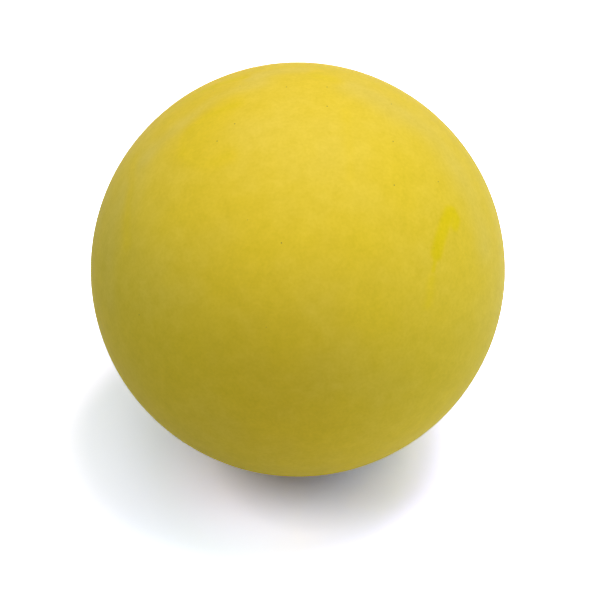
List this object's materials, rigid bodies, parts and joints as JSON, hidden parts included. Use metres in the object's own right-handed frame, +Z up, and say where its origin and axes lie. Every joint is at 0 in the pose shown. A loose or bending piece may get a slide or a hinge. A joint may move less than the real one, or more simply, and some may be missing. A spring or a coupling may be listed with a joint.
{
  "type": "lacrosse ball",
  "caption": "Solid yellow rubber ball for lacrosse, thrown and caught with a netted stick: a moulded rubber core inside a cover of two vulcanised half shells.",
  "frame": {"origin": "centre of the ball", "axes": "+Z up, away from the floor that the ball rests on; the front half shell faces -Y and up, at 42 degrees"},
  "size_m": [0.0634, 0.0636, 0.0635],
  "materials": {
    "yellow_rubber": "smooth moulded rubber, matt with a soft sheen",
    "core_rubber": "buffed matt"
  },
  "bodies": {
    "root": {"front_half_shell": "yellow_rubber", "rear_half_shell": "yellow_rubber", "rubber_core": "core_rubber"}
  },
  "joints": []
}
